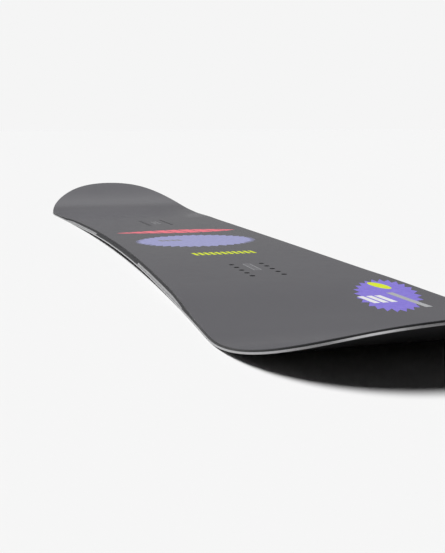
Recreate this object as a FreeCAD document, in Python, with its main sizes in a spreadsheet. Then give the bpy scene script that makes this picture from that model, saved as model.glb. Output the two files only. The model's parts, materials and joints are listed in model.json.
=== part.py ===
"""A twin-tip snowboard, built as the sandwich that a real board is.

X runs along the board towards the nose, Y across it, Z up. The origin is on the ground
under the middle of the board. All sizes are in millimetres.

Each layer is a strip, drawn in side view and as wide as the board, cut to the board's plan
outline. The layers follow two lines in side view: the running surface and the top surface.
"""
import FreeCAD
import Part
import math
import os
import Sketcher

Vec = FreeCAD.Vector

DIMENSIONS = {
    # plan outline
    "board_length": 1540,
    "waist_width": 251,
    "sidecut_half_length": 562,
    "sidecut_end_width": 297,
    "tip_shoulder": 85,
    "tip_bluntness": 130,
    # side profile
    "camber_height": 4.2,
    "camber_half_length": 520,
    "kick_station": 575,
    "kick_radius": 385,
    "kick_angle": 25.5,
    "taper_start": 350,
    "taper_end": 545,
    "middle_thickness": 8.6,
    "tip_thickness": 4,
    # layers, from the ground up
    "base_thickness": 1.3,
    "edge_height": 2,
    "edge_width": 2,
    "tang_thickness": 0.5,
    "tang_reach": 7,
    "tang_root": 1.25,
    "tang_slot_pitch": 30,
    "tang_slot_width": 6,
    "foil_reach": 8.3,
    "glass_thickness": 0.7,
    "topsheet_thickness": 0.5,
    # rim and sidewalls
    "sidewall_width": 9,
    "sidewall_setback": 0.3,
    "top_glass_setback": 0.6,
    "topsheet_setback": 1,
    "bevel_angle": 25,
    "bevel_overrun": 3,
    "core_half_length": 600,
    "damper_start": 168,
    "damper_slope_start": 390,
    "damper_end": 445,
    "damper_depth": 5,
    "damper_roof": 4.85,
    "damper_end_roof": 3,
    # wood core strips
    "centre_strip_width": 16,
    "strip_width": 24,
    # threaded inserts, M6
    "stance_half_width": 278,
    "insert_row_pitch": 20,
    "insert_column_pitch": 40,
    "insert_flange_radius": 8.5,
    "insert_flange_thickness": 0.9,
    "insert_barrel_radius": 4.75,
    "insert_bore_radius": 2.5,
    "insert_floor": 0.6,
    "insert_lead_in": 0.5,
    "insert_recess": 0.15,
    "topsheet_hole_radius": 3.5,
    "pad_thickness": 0.3,
    "pad_half_length": 56,
    "pad_half_width": 30,
    # cutting tools: how far they reach past the board
    "overrun": 20,
    "tool_height": 90,
}
ROWS_PER_PACK = 5
SIDE_STRIPS = 5
TIP_POINTS = 12
BEVEL_STATIONS = (0, 140, 280, 350, 400, 450, 500, 545, 562)

doc = FreeCAD.newDocument("snowboard")
sheet = doc.addObject("Spreadsheet::Sheet", "dims")
for row, (alias, value) in enumerate(DIMENSIONS.items(), start=1):
    sheet.set(f"A{row}", alias)
    sheet.set(f"B{row}", str(value))
    sheet.setAlias(f"B{row}", alias)
doc.recompute()


def dim(alias):
    """The value of one cell of the sheet."""
    return float(sheet.get(alias))


HALF_LENGTH = dim("board_length") / 2
CAMBER_RADIUS = (dim("camber_half_length") ** 2 / 4 + dim("camber_height") ** 2 / 4) / dim("camber_height")
SIDECUT_DEPTH = (dim("sidecut_end_width") - dim("waist_width")) / 2
SIDECUT_RADIUS = (dim("sidecut_half_length") ** 2 + SIDECUT_DEPTH**2) / (2 * SIDECUT_DEPTH)
CORE_FLOOR = dim("base_thickness") + dim("glass_thickness")
RIM_FLOOR = dim("edge_height") + dim("glass_thickness")
CORE_ROOF = dim("topsheet_thickness") + dim("glass_thickness")


# ---------------------------------------------------------------- lines of the side view
def base_height(x):
    """Height of the running surface over the ground, between the contact flats."""
    reach = dim("camber_half_length")
    x = abs(x)
    if x <= reach / 2:
        return dim("camber_height") - CAMBER_RADIUS + math.sqrt(CAMBER_RADIUS**2 - x**2)
    return CAMBER_RADIUS - math.sqrt(CAMBER_RADIUS**2 - (reach - x) ** 2)


def base_slope(x):
    """Slope of the running surface on the outer, upward-curving part of the camber."""
    run = dim("camber_half_length") - x
    return -run / math.sqrt(CAMBER_RADIUS**2 - run**2)


def top_height(x):
    """Height of the top surface over the ground, between the contact flats."""
    start = dim("taper_start")
    end = dim("taper_end")
    if x <= start:
        return base_height(x) + dim("middle_thickness")
    if x >= end:
        return dim("tip_thickness")
    share = (x - start) / (end - start)
    rest = 1 - share
    heights = [pole.z for pole in taper_poles(0)]
    weights = (rest**3, 3 * share * rest**2, 3 * share**2 * rest, share**3)
    return sum(weight * height for weight, height in zip(weights, heights))


def arc(points):
    """An arc in the XZ plane through three (x, z) points."""
    return Part.Arc(*[Vec(x, 0, z) for x, z in points]).toShape()


def line(start, end):
    """A straight edge in the XZ plane between two (x, z) points."""
    return Part.makeLine(Vec(start[0], 0, start[1]), Vec(end[0], 0, end[1]))


def tip_edges(start, lift):
    """The contact flat, the kick and the straight tip of the nose end, raised by lift."""
    kick = dim("kick_station")
    radius = dim("kick_radius")
    angle = math.radians(dim("kick_angle"))

    def on_kick(turn):
        return (kick + radius * math.sin(turn), lift + radius * (1 - math.cos(turn)))

    arc_end = on_kick(angle)
    far = HALF_LENGTH + dim("overrun")
    tip_end = (far, arc_end[1] + (far - arc_end[0]) * math.tan(angle))
    flat = line((start, lift), (kick, lift))
    return [flat, arc([on_kick(0), on_kick(angle / 2), arc_end]), line(arc_end, tip_end)]


def camber_edge(start, end, lift):
    """An arc of the running surface from one station to another, raised by lift."""
    stations = [start, (start + end) / 2, end]
    return arc([(x, base_height(x) + lift) for x in stations])


def scaled(edge, along, across):
    """A copy of an edge, mirrored end for end where along is -1, side for side where across is."""
    if along < 0:
        edge = edge.mirror(Vec(0, 0, 0), Vec(1, 0, 0))
    if across < 0:
        edge = edge.mirror(Vec(0, 0, 0), Vec(0, 1, 0))
    return edge


def mirrored(edges):
    """The same edges at the tail end."""
    return [scaled(edge, -1, 1) for edge in edges]


def running_line(lift):
    """The running surface from tail to nose, raised by lift."""
    reach = dim("camber_half_length")
    crown = camber_edge(-reach / 2, reach / 2, lift)
    nose = [camber_edge(reach / 2, reach, lift)] + tip_edges(reach, lift)
    return mirrored(nose) + [crown] + nose


def taper_poles(drop):
    """Poles of the curve that the top surface follows where the board thins, lowered by drop."""
    start = dim("taper_start")
    end = dim("taper_end")
    tip = dim("tip_thickness") - drop
    third = (end - start) / 3
    start_height = base_height(start) + dim("middle_thickness") - drop
    return [
        Vec(start, 0, start_height),
        Vec(start + third, 0, start_height + base_slope(start) * third),
        Vec(end - third, 0, tip),
        Vec(end, 0, tip),
    ]


def top_line(drop):
    """The top surface from tail to nose, lowered by drop: thick in the middle, thin at the tips."""
    reach = dim("camber_half_length")
    start = dim("taper_start")
    end = dim("taper_end")
    middle = dim("middle_thickness") - drop
    tip = dim("tip_thickness") - drop
    taper = Part.BezierCurve()
    taper.setPoles(taper_poles(drop))
    crown = camber_edge(-reach / 2, reach / 2, middle)
    nose = [camber_edge(reach / 2, start, middle), taper.toShape()] + tip_edges(end, tip)
    return mirrored(nose) + [crown] + nose


# ---------------------------------------------------------------- shared tools
def side_half_width(x):
    """Half the board's width at a station of the sidecut."""
    return dim("waist_width") / 2 + SIDECUT_RADIUS - math.sqrt(SIDECUT_RADIUS**2 - x**2)


def tip_curve(inset):
    """The left half of the nose's outline, moved inwards: from the sidecut's end to the middle."""
    end_x = dim("sidecut_half_length")
    end_y = dim("sidecut_end_width") / 2
    slope = end_x / (SIDECUT_RADIUS - SIDECUT_DEPTH)
    shoulder = dim("tip_shoulder")
    outer = Part.BezierCurve()
    outer.setPoles([
        Vec(end_x, end_y, 0),
        Vec(end_x + shoulder, end_y + shoulder * slope, 0),
        Vec(HALF_LENGTH, dim("tip_bluntness"), 0),
        Vec(HALF_LENGTH, 0, 0),
    ])
    points = []
    for index in range(TIP_POINTS + 1):
        tangent = outer.tangent(index / TIP_POINTS)[0]
        outward = Vec(-tangent.y, tangent.x, 0)
        points.append(outer.value(index / TIP_POINTS) - outward * inset)
    curve = Part.BSplineCurve()
    curve.interpolate(
        Points=points,
        InitialTangent=outer.tangent(0)[0],
        FinalTangent=outer.tangent(1)[0],
    )
    return curve.toShape()


def outline_wire(inset):
    """The plan outline moved inwards: a sidecut arc on each side, a rounded tip at each end."""
    nose_left = tip_curve(inset)
    start = nose_left.valueAt(nose_left.FirstParameter)
    waist = Vec(0, dim("waist_width") / 2 - inset, 0)
    sidecut = Part.Arc(Vec(-start.x, start.y, 0), waist, start).toShape()
    edges = []
    for across in (1, -1):
        edges.append(scaled(sidecut, 1, across))
        edges += [scaled(nose_left, along, across) for along in (1, -1)]
    return Part.Wire(Part.__sortEdges__(edges))


def helper(kind, name, **links):
    """An object of the document that other objects are made from."""
    item = doc.addObject(kind, name)
    for key, value in links.items():
        setattr(item, key, value)
    return item


def extrusion(name, base, direction, forward, backward):
    """A prism of a flat shape, its two lengths bound to the sheet."""
    item = helper("Part::Extrusion", name, Base=base, DirMode="Custom", Dir=direction, Solid=True)
    item.setExpression("LengthFwd", forward)
    item.setExpression("LengthRev", backward)
    return item


def prism(name, inset):
    """Everything inside the plan outline moved inwards by inset."""
    base = helper("Part::Feature", name + "_line", Shape=outline_wire(inset))
    return extrusion(name, base, Vec(0, 0, 1), "dims.tool_height", "dims.overrun")


def strip(name, lower, upper):
    """A layer in side view between two lines, as wide as the board and a little more."""
    ends = []
    for index, x in ((0, -1), (-1, 1)):
        heights = [edges[index].BoundBox.ZMax for edges in (lower, upper)]
        far = x * (HALF_LENGTH + dim("overrun"))
        ends.append(line((far, heights[0]), (far, heights[1])))
    wire = Part.Wire(Part.__sortEdges__(lower + upper + ends))
    face = helper("Part::Feature", name + "_face", Shape=Part.Face(wire))
    width = "dims.sidecut_end_width / 2 + dims.overrun"
    return extrusion(name, face, Vec(0, 1, 0), width, width)


def box(name, low, high):
    """A box between two corners, each given as three expressions."""
    item = helper("Part::Box", name)
    for size, axis, start, end in zip(("Length", "Width", "Height"), "xyz", low, high):
        item.setExpression(size, f"({end}) - ({start})")
        item.setExpression("Placement.Base." + axis, start)
    return item


def common(name, base, tool):
    """What two shapes share."""
    return helper("Part::Common", name, Base=base, Tool=tool)


def cut(name, base, tool):
    """The first shape without the second."""
    return helper("Part::Cut", name, Base=base, Tool=tool)


def fuse(name, base, tool):
    """Two touching shapes made into one."""
    return helper("Part::Fuse", name, Base=base, Tool=tool)


def bevel_section(x):
    """Outline of the bevel cutter at one station: what lies outside the left sidewall's lean."""
    lean = math.tan(math.radians(dim("bevel_angle")))
    extra = dim("bevel_overrun")
    edge_top = base_height(abs(x)) + dim("edge_height")
    low = edge_top - extra
    high = top_height(abs(x)) + extra
    outer = side_half_width(x)
    far = outer + dim("overrun")
    corners = [
        Vec(x, outer + extra * lean, low),
        Vec(x, outer - (high - edge_top) * lean, high),
        Vec(x, far, high),
        Vec(x, far, low),
    ]
    return Part.makePolygon(corners + corners[:1])


def bevel_tools():
    """Two cutters that lean the sides of the board inwards above its steel edges."""
    stations = [-x for x in reversed(BEVEL_STATIONS[1:])] + list(BEVEL_STATIONS)
    sections = [
        helper("Part::Feature", f"bevel_section_{index}", Shape=bevel_section(x))
        for index, x in enumerate(stations)
    ]
    left = helper("Part::Loft", "bevel_left", Sections=sections, Solid=True)
    right = helper("Part::Mirroring", "bevel_right", Source=left, Normal=Vec(0, 1, 0))
    return fuse("bevels", left, right)


FAR_X = "dims.board_length / 2 + dims.overrun"
FAR_Y = "dims.sidecut_end_width / 2 + dims.overrun"
LOW = "-dims.overrun"
HIGH = "dims.tool_height"
within_outline = prism("within_outline", 0)
within_edge = prism("within_edge", dim("edge_width"))
within_tang = prism("within_tang", dim("tang_reach"))
within_foil = prism("within_foil", dim("foil_reach"))
within_sidewall = prism("within_sidewall", dim("sidewall_width"))
within_rim = prism("within_rim", dim("sidewall_setback"))
within_top_glass = prism("within_top_glass", dim("top_glass_setback"))
within_topsheet = prism("within_topsheet", dim("topsheet_setback"))
within_damper = prism("within_damper", dim("damper_depth"))
side_bevels = bevel_tools()
side_box = {
    "left": box("left_side", (f"-({FAR_X})", "0", LOW), (FAR_X, FAR_Y, HIGH)),
    "right": box("right_side", (f"-({FAR_X})", f"-({FAR_Y})", LOW), (FAR_X, "0", HIGH)),
}
core_box = box(
    "core_span",
    ("-dims.core_half_length", f"-({FAR_Y})", LOW),
    ("dims.core_half_length", FAR_Y, HIGH),
)
nodes = []


def node(item, label):
    """Names a finished piece of the board and keeps it for export."""
    item.Label = label
    item.Placement = FreeCAD.Placement()
    nodes.append(item)
    return item


# ---------------------------------------------------------------- base, edges, foils
def make_base():
    """The sheet of sintered plastic that the board slides on, inside the steel edges."""
    layer = strip("base_strip", running_line(0), running_line(dim("base_thickness")))
    node(common("base", layer, within_edge), "base_sheet")


def slot_tools():
    """Boxes that slot the tang from its inner side, along the sidecut on both sides."""
    pitch = dim("tang_slot_pitch")
    count = int(dim("sidecut_half_length") / pitch)
    depth = dim("tang_reach")
    start = dim("edge_width") + dim("tang_root")
    slots = []
    for index in range(-count + 1, count):
        x = index * pitch
        for side in (1, -1):
            outer = side_half_width(x) - start
            low_y = outer - depth if side > 0 else -outer
            corner = Vec(x - dim("tang_slot_width") / 2, low_y, 0)
            slots.append(Part.makeBox(dim("tang_slot_width"), depth, dim("overrun"), corner))
    return Part.makeCompound(slots)


def make_edges():
    """Steel edges all round in two halves, each with a slotted tang that lies on the base."""
    bar_strip = strip("edge_strip", running_line(0), running_line(dim("edge_height")))
    bar_ring = cut("bar_ring", within_outline, within_edge)
    bar = common("edge_bar", bar_strip, bar_ring)
    tang_floor = dim("base_thickness")
    tang_roof = tang_floor + dim("tang_thickness")
    tang_strip = strip("tang_strip", running_line(tang_floor), running_line(tang_roof))
    tang_ring = cut("tang_ring", within_edge, within_tang)
    tang = common("plain_tang", tang_strip, tang_ring)
    slots = helper("Part::Feature", "tang_slots", Shape=slot_tools())
    edge = fuse("whole_edge", bar, cut("slotted_tang", tang, slots))
    for side, half in side_box.items():
        node(common("edge_" + side, edge, half), "steel_edge_" + side)


def make_foils():
    """Thin rubber foils that bond the edge tangs to the glass."""
    foil_floor = dim("base_thickness") + dim("tang_thickness")
    layer = strip("foil_strip", running_line(foil_floor), running_line(dim("edge_height")))
    ring = common("foil_ring", layer, cut("foil_zone", within_edge, within_foil))
    for side, half in side_box.items():
        node(common("foil_" + side, ring, half), "rubber_foil_" + side)


# ---------------------------------------------------------------- glass, core, sidewalls
def make_bottom_glass(seats):
    """Glass laminate under the core; its border steps up over the foils, notched at the dampers."""
    floor = dim("base_thickness")
    inner_strip = strip("bottom_glass_strip", running_line(floor), running_line(CORE_FLOOR))
    inner = common("bottom_glass_middle", inner_strip, within_foil)
    border_strip = strip("border_strip", running_line(dim("edge_height")), running_line(RIM_FLOOR))
    border_ring = cut("border_ring", within_rim, within_sidewall)
    border = common("bottom_glass_border", border_strip, border_ring)
    whole = fuse("bottom_glass_whole", inner, border)
    node(cut("bottom_glass", whole, seats), "bottom_glass_laminate")


def strip_bounds(index):
    """The two Y stations of a core strip, counted outwards from the middle one."""
    inner = f"dims.centre_strip_width / 2 + {index - 1} * dims.strip_width"
    outer = f"dims.centre_strip_width / 2 + {index} * dims.strip_width"
    if index == SIDE_STRIPS:
        outer = FAR_Y
    return inner, outer


def make_core(pads, seats):
    """Upright strips of wood glued side by side, drilled for the inserts."""
    layer = strip("core_strip", running_line(CORE_FLOOR), top_line(CORE_ROOF))
    blank = common("core_blank", common("core_inside", layer, within_sidewall), core_box)
    blank = cut("core_padded", blank, pads)
    blank = cut("core_drilled", blank, seats)
    spans = {"centre": ("-dims.centre_strip_width / 2", "dims.centre_strip_width / 2")}
    for index in range(1, SIDE_STRIPS + 1):
        inner, outer = strip_bounds(index)
        spans[f"left_{index}"] = (inner, outer)
        spans[f"right_{index}"] = (f"-({outer})", f"-({inner})")
    for place, (start, end) in spans.items():
        slice_box = box("slice_" + place, (f"-({FAR_X})", start, LOW), (FAR_X, end, HIGH))
        node(common("strip_" + place, blank, slice_box), "core_strip_" + place)


def damper_span(end, along):
    """The length that a damping strip takes up, its roof sloping down towards its far end."""
    start = dim("damper_start")
    slope_start = dim("damper_slope_start")
    stop = dim("damper_end")
    low = -dim("overrun")
    high = dim("tool_height")
    corners = [
        (start, low),
        (stop, low),
        (stop, base_height(stop) + dim("damper_end_roof")),
        (slope_start, base_height(slope_start) + dim("damper_roof")),
        (slope_start, high),
        (start, high),
    ]
    points = [Vec(along * x, 0, z) for x, z in corners]
    side_view = Part.Face(Part.makePolygon(points + points[:1]))
    face = helper("Part::Feature", f"damper_face_{end}", Shape=side_view)
    width = "dims.sidecut_end_width / 2 + dims.overrun"
    return extrusion(f"damper_span_{end}", face, Vec(0, 1, 0), width, width)


def make_dampers():
    """Light damping strips that lie on the steel edges beside the feet, flush with the sidewalls."""
    layer = strip("damper_strip", running_line(dim("edge_height")), running_line(dim("damper_roof")))
    ring = common("damper_ring", layer, cut("damper_zone", within_rim, within_damper))
    seats = []
    for end, along in (("nose", 1), ("tail", -1)):
        seat = common("damper_seat_" + end, ring, damper_span(end, along))
        leaned = cut("leaned_damper_" + end, seat, side_bevels)
        seats.append(seat)
        for side, half in side_box.items():
            node(common(f"damper_{side}_{end}", leaned, half), f"damping_strip_{side}_{end}")
    return fuse("damper_seats", *seats)


def make_sidewalls(rim, seats):
    """Black plastic walls beside the core, leaned in, notched for the damping strips."""
    wall = cut("leaned_wall", common("wall_blank", rim, core_box), side_bevels)
    notched = cut("notched_wall", wall, seats)
    for side, half in side_box.items():
        node(common("wall_" + side, notched, half), "sidewall_" + side)


def make_tip_fills(rim):
    """Thin plastic sheets that take the core's place in the tips."""
    layer = strip("fill_strip", running_line(CORE_FLOOR), top_line(CORE_ROOF))
    inside = common("fill_inside", layer, within_sidewall)
    whole = fuse("fill_whole", inside, rim)
    ends = {
        "nose": (("dims.core_half_length", f"-({FAR_Y})", LOW), (FAR_X, FAR_Y, HIGH)),
        "tail": ((f"-({FAR_X})", f"-({FAR_Y})", LOW), ("-dims.core_half_length", FAR_Y, HIGH)),
    }
    for place, (low, high) in ends.items():
        node(common("fill_" + place, whole, box("end_" + place, low, high)), place + "_tip_fill")


def make_top_glass(holes):
    """Glass laminate over the core, drilled over the inserts."""
    floor = top_line(CORE_ROOF)
    layer = strip("top_glass_strip", floor, top_line(dim("topsheet_thickness")))
    flat_rim = common("top_glass_blank", layer, within_top_glass)
    sheet_blank = cut("leaned_top_glass", flat_rim, side_bevels)
    node(cut("top_glass", sheet_blank, holes), "top_glass_laminate")


def make_topsheet(holes):
    """The decorated plastic skin, drilled over the inserts."""
    layer = strip("topsheet_strip", top_line(dim("topsheet_thickness")), top_line(0))
    flat_rim = common("flat_topsheet", layer, within_topsheet)
    blank = cut("leaned_topsheet", flat_rim, side_bevels)
    node(cut("topsheet", blank, holes), "topsheet")


# ---------------------------------------------------------------- inserts
def insert_places():
    """X and Y of the ten inserts of each pack."""
    places = {}
    for pack, middle in (("nose", dim("stance_half_width")), ("tail", -dim("stance_half_width"))):
        rows = [middle + (row - (ROWS_PER_PACK - 1) / 2) * dim("insert_row_pitch")
                for row in range(ROWS_PER_PACK)]
        columns = [dim("insert_column_pitch") / 2, -dim("insert_column_pitch") / 2]
        places[pack] = [(x, y) for x in rows for y in columns]
    return places


INSERT_FLOOR = CORE_FLOOR + dim("pad_thickness")
INSERT_LENGTH = dim("middle_thickness") - CORE_ROOF - dim("insert_recess") - INSERT_FLOOR


def make_insert_body():
    """One threaded insert: a wide flange, a barrel and a blind bore with a lead-in."""
    body = doc.addObject("PartDesign::Body", "insert")
    sketch = body.newObject("Sketcher::SketchObject", "insert_section")
    plane = [item for item in body.Origin.OriginFeatures if item.Role == "XZ_Plane"][0]
    sketch.AttachmentSupport = [(plane, "")]
    sketch.MapMode = "FlatFace"
    flange = dim("insert_flange_radius")
    barrel = dim("insert_barrel_radius")
    bore = dim("insert_bore_radius")
    lead = dim("insert_lead_in")
    top = INSERT_LENGTH
    corners = [
        (0, 0), (flange, 0), (flange, dim("insert_flange_thickness")),
        (barrel, dim("insert_flange_thickness")), (barrel, top), (bore + lead, top),
        (bore, top - lead), (bore, dim("insert_floor")), (0, dim("insert_floor")),
    ]
    points = [Vec(x, y, 0) for x, y in corners]
    count = len(points)
    for index in range(count):
        sketch.addGeometry(Part.LineSegment(points[index], points[(index + 1) % count]), False)
    for index in range(count):
        sketch.addConstraint(Sketcher.Constraint("Coincident", index, 2, (index + 1) % count, 1))
    for index in (0, 2, 4, 7):
        sketch.addConstraint(Sketcher.Constraint("Horizontal", index))
    for index in (1, 3, 6):
        sketch.addConstraint(Sketcher.Constraint("Vertical", index))
    sketch.addConstraint(Sketcher.Constraint("Coincident", 0, 1, -1, 1))
    sketch.addConstraint(Sketcher.Constraint("PointOnObject", 7, 2, -2))
    # each driven length: kind, first point, second point, its size, its expression
    origin = (-1, 1)
    stack = "dims.middle_thickness - dims.topsheet_thickness - 2 * dims.glass_thickness"
    under = "dims.base_thickness + dims.pad_thickness + dims.insert_recess"
    lengths = [
        ("DistanceX", (0, 1), (0, 2), flange, "dims.insert_flange_radius"),
        ("DistanceY", (1, 1), (1, 2), dim("insert_flange_thickness"), "dims.insert_flange_thickness"),
        ("DistanceX", origin, (3, 1), barrel, "dims.insert_barrel_radius"),
        ("DistanceX", origin, (6, 1), bore, "dims.insert_bore_radius"),
        ("DistanceX", (6, 1), (5, 1), lead, "dims.insert_lead_in"),
        ("DistanceY", (6, 1), (5, 1), lead, "dims.insert_lead_in"),
        ("DistanceY", origin, (7, 1), dim("insert_floor"), "dims.insert_floor"),
        ("DistanceY", origin, (4, 1), top, f"{stack} - ({under})"),
    ]
    for kind, first, second, size, expression in lengths:
        where = sketch.addConstraint(Sketcher.Constraint(kind, *first, *second, size))
        sketch.setExpression(f"Constraints[{where}]", expression)
    turned = body.newObject("PartDesign::Revolution", "insert_turned")
    turned.Profile = sketch
    turned.ReferenceAxis = (sketch, ["V_Axis"])
    turned.Angle = 360
    return body


def make_insert_pack(pack, insert):
    """Ten inserts, upright in the core, all in one node."""
    copies = []
    for x, y in insert_places()[pack]:
        copy = insert.Shape.copy()
        copy.translate(Vec(x, y, base_height(x) + INSERT_FLOOR))
        copies.append(copy)
    pack_item = helper("Part::Feature", "pack_" + pack, Shape=Part.makeCompound(copies))
    node(pack_item, "threaded_inserts_" + pack)


def cylinders(name, radius, low, high):
    """Upright cylinders at every insert, between two heights over the running surface."""
    solids = []
    for pack in insert_places().values():
        for x, y in pack:
            foot = Vec(x, y, base_height(x) + low)
            solids.append(Part.makeCylinder(radius, high - low, foot))
    return helper("Part::Feature", name, Shape=Part.makeCompound(solids))


def make_pads(flanges):
    """Glass mat pads under the insert flanges, one for each pack."""
    roof = CORE_FLOOR + dim("pad_thickness")
    layer = strip("pad_strip", running_line(CORE_FLOOR), running_line(roof))
    halves = ("dims.pad_half_length", "dims.pad_half_width")
    for pack, middle in (("nose", "dims.stance_half_width"), ("tail", "-dims.stance_half_width")):
        low = (f"{middle} - {halves[0]}", f"-{halves[1]}", LOW)
        high = (f"{middle} + {halves[0]}", halves[1], HIGH)
        blank = common("pad_blank_" + pack, layer, box("pad_span_" + pack, low, high))
        node(cut("pad_" + pack, blank, flanges), "insert_pad_" + pack)


# ---------------------------------------------------------------- assembly
insert_body = make_insert_body()
doc.recompute()
flange_top = INSERT_FLOOR + dim("insert_flange_thickness")
above_skin = dim("middle_thickness") + dim("topsheet_thickness")
flange_tools = cylinders("flange_tools", dim("insert_flange_radius"), INSERT_FLOOR, flange_top)
barrel_tools = cylinders("barrel_tools", dim("insert_barrel_radius"), INSERT_FLOOR, above_skin)
hole_tools = cylinders("hole_tools", dim("topsheet_hole_radius"), INSERT_FLOOR, above_skin)
seat_tools = fuse("seat_tools", flange_tools, barrel_tools)
rim_strip = strip("rim_strip", running_line(RIM_FLOOR), top_line(CORE_ROOF))
rim_ring = common("rim_ring", rim_strip, cut("rim_zone", within_rim, within_sidewall))

make_base()
make_edges()
make_foils()
damper_seats = make_dampers()
make_bottom_glass(damper_seats)
make_pads(flange_tools)
pad_blanks = fuse("pad_blanks", doc.getObject("pad_blank_nose"), doc.getObject("pad_blank_tail"))
make_core(pad_blanks, seat_tools)
make_sidewalls(rim_ring, damper_seats)
make_tip_fills(rim_ring)
make_top_glass(hole_tools)
make_topsheet(hole_tools)
for pack_name in ("nose", "tail"):
    make_insert_pack(pack_name, insert_body)
doc.recompute()

# ---------------------------------------------------------------- checks and export
for item in doc.Objects:
    if {"Invalid", "Error"} & set(item.State):
        raise RuntimeError(f"{item.Name} failed: {item.State}")
os.makedirs("parts", exist_ok=True)
for item in nodes:
    shape = item.Shape
    if shape.isNull() or not shape.isValid() or not shape.Solids:
        raise RuntimeError(f"{item.Label} has no valid solid")
    shape.exportStep(f"parts/{item.Label}.step")
    size = shape.BoundBox
    print(f"{item.Label:28s} solids {len(shape.Solids):2d}  faces {len(shape.Faces):4d}  "
          f"volume {shape.Volume / 1000:8.1f} cm3  "
          f"x {size.XMin:.1f}..{size.XMax:.1f}  y {size.YMin:.1f}..{size.YMax:.1f}  "
          f"z {size.ZMin:.2f}..{size.ZMax:.2f}")
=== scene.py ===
"""Looks of a twin-tip snowboard without bindings: finishes for its layers, smooth meshes that stand
for the layers that show, printed marks, and a plain pale studio."""
import json
import math
import random

import bmesh
import bpy
from mathutils import Matrix, Vector
from mathutils.geometry import delaunay_2d_cdt


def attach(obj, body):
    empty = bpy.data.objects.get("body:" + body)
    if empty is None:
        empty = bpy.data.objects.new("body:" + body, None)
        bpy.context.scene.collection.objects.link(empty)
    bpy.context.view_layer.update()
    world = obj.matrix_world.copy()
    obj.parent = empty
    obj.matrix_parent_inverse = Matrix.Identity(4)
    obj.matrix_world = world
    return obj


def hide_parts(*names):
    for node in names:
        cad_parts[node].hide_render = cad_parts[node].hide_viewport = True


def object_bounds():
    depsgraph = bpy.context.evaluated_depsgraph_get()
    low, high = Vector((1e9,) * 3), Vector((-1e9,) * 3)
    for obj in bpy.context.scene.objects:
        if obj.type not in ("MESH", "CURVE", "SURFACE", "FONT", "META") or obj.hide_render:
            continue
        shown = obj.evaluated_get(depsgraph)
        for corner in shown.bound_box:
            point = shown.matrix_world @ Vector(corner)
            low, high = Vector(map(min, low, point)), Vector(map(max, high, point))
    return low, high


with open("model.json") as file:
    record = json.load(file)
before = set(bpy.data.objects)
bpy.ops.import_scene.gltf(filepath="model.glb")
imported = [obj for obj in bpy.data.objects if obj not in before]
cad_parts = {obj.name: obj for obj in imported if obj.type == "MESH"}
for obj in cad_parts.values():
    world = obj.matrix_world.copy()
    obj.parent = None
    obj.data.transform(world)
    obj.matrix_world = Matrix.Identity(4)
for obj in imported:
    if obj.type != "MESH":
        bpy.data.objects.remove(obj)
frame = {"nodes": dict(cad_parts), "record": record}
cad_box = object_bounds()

MM = 0.001
scene = bpy.context.scene
random.seed(7)

# ---------------------------------------------------------------- the board's sizes, in millimetres
HALF_LENGTH = cad_box[1].x / MM
HALF_WAIST = 125.5
SIDECUT_END = 562
SIDECUT_HALF = 148.5
SHOULDER = 85
BLUNTNESS = 130
CAMBER = 4.2
CAMBER_REACH = 520
KICK_START = 575
KICK_RADIUS = 385
KICK_ANGLE = math.radians(25.5)
TAPER_START = 350
TAPER_END = 545
MIDDLE_THICKNESS = 8.6
TIP_THICKNESS = 4
CORE_END = 600

CAMBER_RADIUS = (CAMBER_REACH**2 / 4 + CAMBER**2 / 4) / CAMBER
SIDECUT_DEPTH = SIDECUT_HALF - HALF_WAIST
SIDECUT_RADIUS = (SIDECUT_END**2 + SIDECUT_DEPTH**2) / (2 * SIDECUT_DEPTH)
SIDECUT_SLOPE = SIDECUT_END / (SIDECUT_RADIUS - SIDECUT_DEPTH)

BASE_THICKNESS = 1.3
LAMINATE = 0.7
LAMINATE_SETBACK = 0.6
SKIN = 0.5
SKIN_SETBACK = 1
RIM_ROUND = 0.15
FOIL_REACH = 8.3

EDGE_WIDTH = 2
EDGE_TOP = 2
EDGE_BREAK = 0.12
TANG_REACH = 7
TANG_NARROW = 3.25
TANG_TOP = 1.8
SLOT_PITCH = 30
SLOT_HALF = 3
LAST_SLOT = 17

WALL_DEPTH = 9
RIM_SETBACK = 0.3
RIM_FLOOR = EDGE_TOP + LAMINATE
LEAN = math.tan(math.radians(25))
LEAN_FADE = 125
DAMPER_START = 168
DAMPER_SLOPE = 390
DAMPER_STOP = 445
DAMPER_ROOF = 4.85
DAMPER_END_ROOF = 3
DAMPER_DEPTH = 5

STANCE_HALF = 278
INSERT_PITCH = 20
HOLE_RADIUS = 3.5
HOLES = [(along * STANCE_HALF + INSERT_PITCH * row, across * INSERT_PITCH)
         for along in (-1, 1) for row in range(-2, 3) for across in (-1, 1)]


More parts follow.
